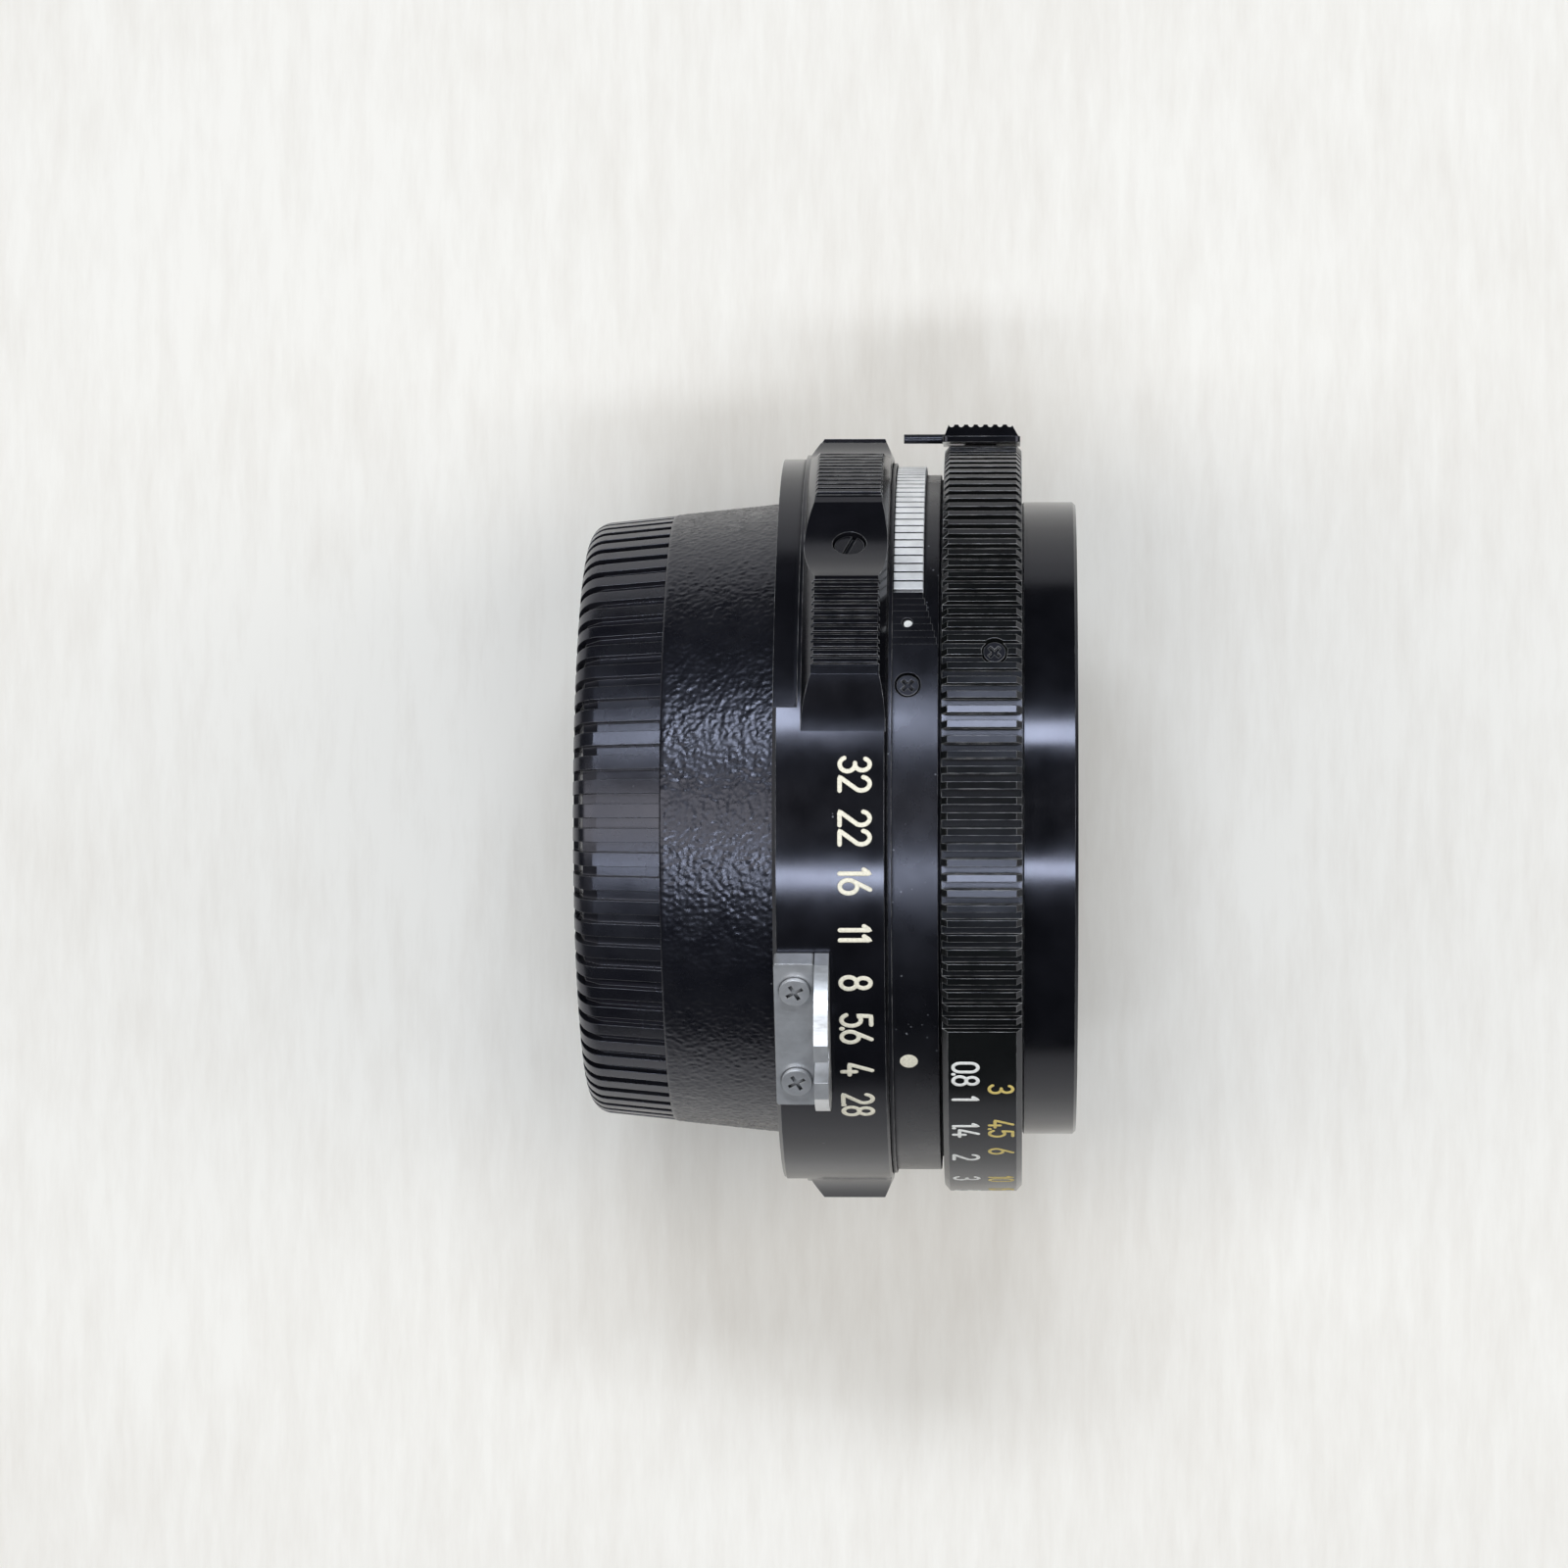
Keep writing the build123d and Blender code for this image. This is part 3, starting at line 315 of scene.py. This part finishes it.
def floor_material():
    """Pale bleached wood whose faint streaks run across the lens."""
    s = Shader("floor_pale", (0.84, 0.81, 0.75), 0.7)
    stretched = s.add("ShaderNodeMapping", Scale=(520.0, 75.0, 1.0))
    s.link(s.place(), stretched.inputs["Vector"])
    fibres = s.noise(stretched.outputs[0], 1.0, 8.0, 0.7)
    patches = s.noise(s.place(), 22.0, 4.0)
    streaks = s.math("ADD", s.math("MULTIPLY", fibres, 0.6), s.math("MULTIPLY", patches, 0.4))
    s.drive("Base Color", s.ramp(streaks, (0.32, (0.79, 0.75, 0.69)), (0.56, (0.87, 0.84, 0.785))))
    s.set("Specular IOR Level", 0.2)
    return s.material


OLIVE = (1.05, 1.15, 1.1)
BARREL_BLACK = black_anodised("barrel_black", 0.12, 0.19, 0.6, 0.72, threaded=True)
RING_BLACK = black_anodised("ring_black", 0.13, 0.20, 0.3, 0.68, edge_wear_and_glint=0.45)
BAND_BLACK = black_anodised("band_black", 0.23, 0.34, 0.3, 0.57)
FOCUS_BLACK = black_anodised("focus_black", 0.16, 0.24, 0.3, 0.68, OLIVE, edge_wear_and_glint=0.55)
SCREW_BLACK = black_anodised("screw_black", 0.22, 0.34, 0.2, 0.62, edge_wear_and_glint=0.35, tone=0.004,
                             edge=0.10 * MM)
CAP = cap_plastic()
CAP_GRAIN = grained_plastic()
MATT = matt_black()
SILVER = bright_metal("satin_silver", (0.94, 0.95, 0.97), 0.34, 3000.0, 6.0, 0.08, 0.4)
NICKEL = bright_metal("satin_nickel", (0.66, 0.67, 0.69), 0.36, 1200.0, 200.0, 0.2, 0.7)
CHROME = bright_metal("polished_chrome", (0.72, 0.72, 0.74), 0.16, 4000.0, 2.0, 0.2)
BRASS = bright_metal("turned_brass", (0.62, 0.46, 0.22), 0.3, 5000.0, 3.0, 0.3)
BLUED = bright_metal("blued_steel", (0.07, 0.07, 0.085), 0.35, 900.0, 20.0, 0.2)
GLASS = coated_glass()
IVORY = paint("ivory_paint", (0.86, 0.81, 0.66))
WHITE = paint("white_paint", (0.88, 0.88, 0.85))
YELLOW = paint("yellow_paint", (0.72, 0.56, 0.17))

BY_SLOT = {
    "black_anodised": RING_BLACK, "matt_black": MATT, "bright_chrome": CHROME,
    "satin_silver": SILVER, "nickel": NICKEL, "black_screws": SCREW_BLACK, "brass_parts": BRASS,
    "iris_steel": BLUED, "cap_plastic": CAP, "coated_glass": GLASS,
}
BY_NODE = {"front_barrel": BARREL_BLACK, "front_trim_ring": BARREL_BLACK,
           "index_ring": BAND_BLACK, "focus_ring": FOCUS_BLACK}


def finish_node(name, slot):
    """Give a CAD node its material."""
    piece = nodes[name]
    piece.data.materials.clear()
    piece.data.materials.append(BY_NODE.get(name, BY_SLOT[slot]))


for part in frame["record"]["subparts"]:
    finish_node(part["node"], part["material_slot"])

# ------------------------------------------------------------------ engraved numerals

def arc(cx, cy, rx, ry, start, end, steps=14):
    """Points of an elliptical arc; degrees, anticlockwise from the glyph's right."""
    turns = [radians(start + (end - start) * i / steps) for i in range(steps + 1)]
    return [(cx + rx * cos(t), cy + ry * sin(t)) for t in turns]


# For each glyph its width and its strokes, in a box one unit high; "oo" is the infinity sign.
GLYPHS = {
    "0": (0.56, [arc(0.28, 0.70, 0.28, 0.30, 0, 180) + arc(0.28, 0.30, 0.28, 0.30, 180, 360)
                 + [(0.56, 0.70)]]),
    "1": (0.20, [[(0.0, 0.80), (0.17, 1.0), (0.17, 0.0)]]),
    "2": (0.56, [arc(0.28, 0.72, 0.28, 0.28, 165, -30) + [(0.0, 0.0), (0.56, 0.0)]]),
    "3": (0.56, [arc(0.27, 0.755, 0.25, 0.245, 155, -80) + [(0.22, 0.51)],
                 [(0.22, 0.51)] + arc(0.27, 0.255, 0.29, 0.255, 80, -155)]),
    "4": (0.60, [[(0.34, 1.0), (0.0, 0.24), (0.60, 0.24)], [(0.42, 0.46), (0.42, 0.0)]]),
    "5": (0.56, [[(0.50, 1.0), (0.08, 1.0), (0.04, 0.56)] + arc(0.27, 0.33, 0.29, 0.33, 125, -150)]),
    "6": (0.56, [[(0.40, 1.0), (0.07, 0.48)] + arc(0.28, 0.29, 0.28, 0.29, 150, -210, 22)]),
    "8": (0.56, [arc(0.28, 0.76, 0.235, 0.24, -90, 270, 22), arc(0.28, 0.27, 0.28, 0.27, 90, 450, 22)]),
    ".": (0.10, [[(0.05, 0.03), (0.05, 0.0)]]),
    "oo": (1.10, [arc(0.27, 0.40, 0.27, 0.27, 40, 320, 20) + arc(0.83, 0.40, 0.27, 0.27, -140, 140, 20)
                  + [(0.48, 0.57)]]),
}
GAP, POINT_GAP = 0.24, 0.10
PAINT_HEIGHT = 0.02 * MM


def layout(text):
    """The strokes of a number and its width, in units of its height."""
    strokes = []
    advance = 0.0
    glyphs = ["oo"] if text == "oo" else list(text)
    for glyph in glyphs:
        width, lines = GLYPHS[glyph]
        if glyph == "." and advance:
            advance -= GAP - POINT_GAP
        strokes += [[(advance + u, v) for u, v in line] for line in lines]
        advance += width + (POINT_GAP if glyph == "." else GAP)
    return strokes, advance - GAP


def resample(line, step):
    """Even points along a line, so that it bends with the surface."""
    out = [line[0]]
    for (u0, v0), (u1, v1) in zip(line, line[1:]):
        length = ((u1 - u0) ** 2 + (v1 - v0) ** 2) ** 0.5
        count = max(1, round(length / step))
        out += [(u0 + (u1 - u0) * i / count, v0 + (v1 - v0) * i / count) for i in range(1, count + 1)]
    return out


def stroke_mesh(points, normals, width, height, verts, faces):
    """Add a flat bead of paint with round ends, along points on a surface, to verts and faces."""
    sides = 8
    caps = (0.0, 0.5, 0.85)
    tangents = []
    for i in range(len(points)):
        before, after = points[max(0, i - 1)], points[min(len(points) - 1, i + 1)]
        tangents.append((after - before).normalized())
    rings = []
    for share in caps:
        rings.append((points[0] - tangents[0] * width / 2 * (1 - share ** 2) ** 0.5, 0, max(share, 0.02)))
    rings += [(points[i], i, 1.0) for i in range(len(points))]
    last = len(points) - 1
    for share in reversed(caps):
        rings.append((points[last] + tangents[last] * width / 2 * (1 - share ** 2) ** 0.5, last,
                      max(share, 0.02)))
    first = len(verts)
    for centre, i, share in rings:
        side = normals[i].cross(tangents[i]).normalized()
        for k in range(sides):
            turn = 2 * pi * k / sides
            verts.append(centre + side * (cos(turn) * width / 2 * share)
                         + normals[i] * (sin(turn) * height * min(1.0, share + 0.3)))
    for r in range(len(rings) - 1):
        for k in range(sides):
            a, b = first + r * sides + k, first + r * sides + (k + 1) % sides
            faces.append((a, b, b + sides, a + sides))
    faces.append(tuple(first + k for k in reversed(range(sides))))
    end = first + (len(rings) - 1) * sides
    faces.append(tuple(end + k for k in range(sides)))


def numerals(name, marks, radius, x_low, x_high, weight, body, material, squeeze):
    """Numbers round a ring: tops towards the front, reading towards smaller clock angles.

    marks are (text, clock angle) pairs, weight is the stroke's width and squeeze narrows each glyph.
    """
    size = x_high - x_low
    verts, faces = [], []
    for text, angle in marks:
        strokes, width = layout(text)
        start = angle + degrees(width * size * squeeze / 2 / radius)
        for line in strokes:
            even = resample(line, 0.05)
            clocks = [start - degrees(u * size * squeeze / radius) for u, _ in even]
            points = [point(c, radius, x_low + v * size) for c, (_, v) in zip(clocks, even)]
            normals = [point(c, 1.0, 0.0) for c in clocks]
            stroke_mesh(points, normals, weight, PAINT_HEIGHT, verts, faces)
    return mesh_piece(name, verts, faces, material, body)


def mesh_piece(name, verts, faces, material, body):
    """A smooth mesh from its points and faces that rides on a body."""
    mesh = bpy.data.meshes.new(name)
    mesh.from_pydata([tuple(v) for v in verts], [], faces)
    mesh.update()
    for face in mesh.polygons:
        face.use_smooth = True
    mesh.materials.append(material)
    piece = bpy.data.objects.new(name, mesh)
    bpy.context.scene.collection.objects.link(piece)
    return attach(piece, body)


def spot(name, angle, radius, x, size, body, material):
    """A round dab of paint on a ring."""
    verts, faces = [], []
    rings, sides = 4, 32
    for r in range(rings + 1):
        share = r / rings
        for k in range(sides):
            turn = 2 * pi * k / sides
            across = sin(turn) * size / 2 * share
            clock = angle + degrees(across / radius)
            height = PAINT_HEIGHT * (1 - share ** 4)
            verts.append(point(clock, radius + height, x + cos(turn) * size / 2 * share))
    for r in range(rings):
        for k in range(sides):
            a, b = r * sides + k, r * sides + (k + 1) % sides
            faces.append((a, a + sides, b + sides, b))
    return mesh_piece(name, verts, faces, material, body)


def ring_skin(name, stations, columns, base, height, thickness, body, material):
    """A closed shell round the axis: its outside stands height(place) over base(x)."""
    clocks = [360 * k / columns for k in range(columns)]
    verts = []
    for x in stations:
        for clock in clocks:
            rise = height(point(clock, base(x), x))
            verts.append(point(clock, base(x) + rise, x))
    for x in (stations[-1], stations[0]):
        verts += [point(clock, base(x) - thickness, x) for clock in clocks]
    rows = len(stations) + 2
    faces = []
    for r in range(rows):
        here, following = r * columns, (r + 1) % rows * columns
        for k in range(columns):
            beside = (k + 1) % columns
            faces.append((here + k, following + k, following + beside, here + beside))
    return mesh_piece(name, verts, faces, material, body)


# ------------------------------------------------------------------ the cap's leather grain

SKIRT_REAR, SKIRT_FRONT = -10.68 * MM, -0.14 * MM
SKIRT_REAR_R, SKIRT_FRONT_R = 25.5 * MM, 26.6 * MM
PEBBLE, PEBBLE_HEIGHT, GRAIN_STEP = 0.42 * MM, 0.085 * MM, 0.14 * MM
SMOOTH_EDGE, SKIN_THICKNESS, LEAST_RISE = 0.25 * MM, 0.15 * MM, 0.01 * MM
GRAIN_SEED = 7


def skirt_radius(x):
    """The radius of the cap's smooth skirt in CAD, which is a cone."""
    share = (x - SKIRT_REAR) / (SKIRT_FRONT - SKIRT_REAR)
    return SKIRT_REAR_R + share * (SKIRT_FRONT_R - SKIRT_REAR_R)


def leather(place):
    """Pebbles with narrow valleys, faded out towards both edges of the skirt."""
    drift = noise.noise_vector(place / (1.3 * PEBBLE)) * 0.75
    near, second = noise.voronoi(place / PEBBLE + drift)[0][:2]
    pebble = min(1.0, 2.2 * (second - near)) ** 0.7
    swell = 0.5 + 0.5 * noise.noise(place / (0.7 * PEBBLE))
    inside = min(place.x - SKIRT_REAR, SKIRT_FRONT - place.x) / SMOOTH_EDGE
    fade = max(0.0, min(1.0, inside))
    return LEAST_RISE + PEBBLE_HEIGHT * fade * (0.7 * pebble + 0.3 * swell)


SKIRT_LENGTH = SKIRT_FRONT - SKIRT_REAR
SKIRT_ROWS = round(SKIRT_LENGTH / GRAIN_STEP)
SKIRT_COLUMNS = round(2 * pi * SKIRT_FRONT_R / GRAIN_STEP)
SKIRT_STATIONS = [SKIRT_REAR + SKIRT_LENGTH * i / SKIRT_ROWS for i in range(SKIRT_ROWS + 1)]
noise.seed_set(GRAIN_SEED)  # or noise_vector, which leather() uses, would follow the clock
ring_skin("cap_grain", SKIRT_STATIONS, SKIRT_COLUMNS, skirt_radius, leather, SKIN_THICKNESS,
          "rear_cap", CAP_GRAIN)

# ------------------------------------------------------------------ the scales and marks

INDEX_CLOCK = -41.5
STOP_STEP = 8.0
STOPS = ["2.8", "4", "5.6", "8", "11", "16", "22", "32"]
STOP_ROW, STOP_R, STOP_WEIGHT, STOP_SQUEEZE = (3.94 * MM, 6.33 * MM), 30.6 * MM, 0.39 * MM, 0.80
stops = [(text, INDEX_CLOCK + STOP_STEP * (i - 1)) for i, text in enumerate(STOPS)]
numerals("aperture_numerals", stops, STOP_R, *STOP_ROW, STOP_WEIGHT, "aperture_ring", IVORY,
         STOP_SQUEEZE)

DEGREES_PER_LOG = 23.2
NEAR_M, FOOT = 0.8, 0.3048
NEAR_CLOCK = INDEX_CLOCK + 0.5
INFINITY_CLOCK = NEAR_CLOCK - 70


def distance_clock(metres):
    """Where a distance stands on the focus ring when the ring is at its nearest stop."""
    return NEAR_CLOCK - DEGREES_PER_LOG * log(metres / NEAR_M)


SCALE_R, SCALE_SQUEEZE = 31.4 * MM, 0.85
METRE_ROW, METRE_WEIGHT = (12.85 * MM, 14.85 * MM), 0.31 * MM
FEET_ROW, FEET_WEIGHT = (15.75 * MM, 17.65 * MM), 0.28 * MM
metres = [(t, distance_clock(float(t))) for t in ("0.8", "1", "1.4", "2", "3", "5", "10")]
feet = [(t, distance_clock(float(t) * FOOT)) for t in ("3", "4.5", "6", "10", "15", "30")]
numerals("metre_numerals", metres + [("oo", INFINITY_CLOCK)], SCALE_R, *METRE_ROW,
         METRE_WEIGHT, "focus_ring", WHITE, SCALE_SQUEEZE)
numerals("feet_numerals", feet + [("oo", INFINITY_CLOCK)], SCALE_R, *FEET_ROW,
         FEET_WEIGHT, "focus_ring", YELLOW, SCALE_SQUEEZE)
MARK_X, GRIP_CLOCK = 9.28 * MM, 32.0
DOT_R, DOT_SIZE, GRIP_GLINT_R, GRIP_GLINT_SIZE = 29.6 * MM, 1.45 * MM, 29.3 * MM, 0.7 * MM
spot("index_dot", INDEX_CLOCK, DOT_R, MARK_X, DOT_SIZE, "housing", IVORY)
# A painted highlight: a white dab where a small pit by the grip shows a glint.
spot("grip_painted_glint", GRIP_CLOCK, GRIP_GLINT_R, MARK_X, GRIP_GLINT_SIZE, "housing", WHITE)

# ------------------------------------------------------------------ floor, lights, camera

def stage_floor():
    """A large pale floor at the lens's lowest point."""
    size = 3.0
    mesh = bpy.data.meshes.new("floor")
    z = cad_low.z
    mesh.from_pydata([(-size, -size, z), (size, -size, z), (size, size, z), (-size, size, z)], [],
                     [(0, 1, 2, 3)])
    mesh.materials.append(floor_material())
    floor = bpy.data.objects.new("floor", mesh)
    bpy.context.scene.collection.objects.link(floor)


def softbox(name, place, size, power, color):
    """A rectangular lamp that points at the origin."""
    lamp = bpy.data.lights.new(name, "AREA")
    lamp.shape = "RECTANGLE"
    lamp.size, lamp.size_y = size
    lamp.energy = power
    lamp.color = color
    holder = bpy.data.objects.new(name, lamp)
    holder.location = place
    holder.rotation_euler = (-Vector(place)).to_track_quat("-Z", "Y").to_euler()
    bpy.context.scene.collection.objects.link(holder)


def studio():
    """Two narrow strips overhead that the barrels mirror, and two soft lights at the ends."""
    world = bpy.data.worlds.new("studio")
    bpy.context.scene.world = world
    world.use_nodes = True
    back = world.node_tree.nodes["Background"]
    back.inputs["Color"].default_value = (0.74, 0.85, 1.0, 1.0)
    back.inputs["Strength"].default_value = 0.05
    cool, warm = (0.84, 0.91, 1.0), (1.0, 0.965, 0.915)
    softbox("strip_far", (0.0, 0.50, 0.86), (0.50, 0.13), 4.5, cool)
    softbox("strip_near", (0.0, -0.30, 0.92), (0.50, 0.09), 3.3, cool)
    softbox("end_light_rear", (-0.62, 0.0, 0.95), (0.4, 1.1), 3.9, warm)
    softbox("end_light_front", (0.66, 0.05, 0.92), (0.4, 1.1), 4.5, warm)
    bpy.context.scene.view_settings.view_transform = "Standard"


def camera():
    """Straight above the lens and a little to its front, as in a hand-held picture."""
    distance, width = 485 * MM, 132.45 * MM
    spot_x, aim = 17.4 * MM, Vector((-1.66 * MM, 2.86 * MM, 0.0))
    lens = bpy.data.cameras.new("camera")
    lens.sensor_width = 36.0
    lens.lens = lens.sensor_width / 2 / (width / 2 / distance)
    lens.clip_start = 0.01
    holder = bpy.data.objects.new("camera", lens)
    holder.location = (spot_x, 0.0, distance)
    back = (holder.location - aim).normalized()
    right = Vector((0, 1, 0)).cross(back).normalized()
    holder.rotation_euler = Matrix((right, back.cross(right), back)).transposed().to_euler()
    bpy.context.scene.collection.objects.link(holder)
    bpy.context.scene.camera = holder


stage_floor()
studio()
camera()
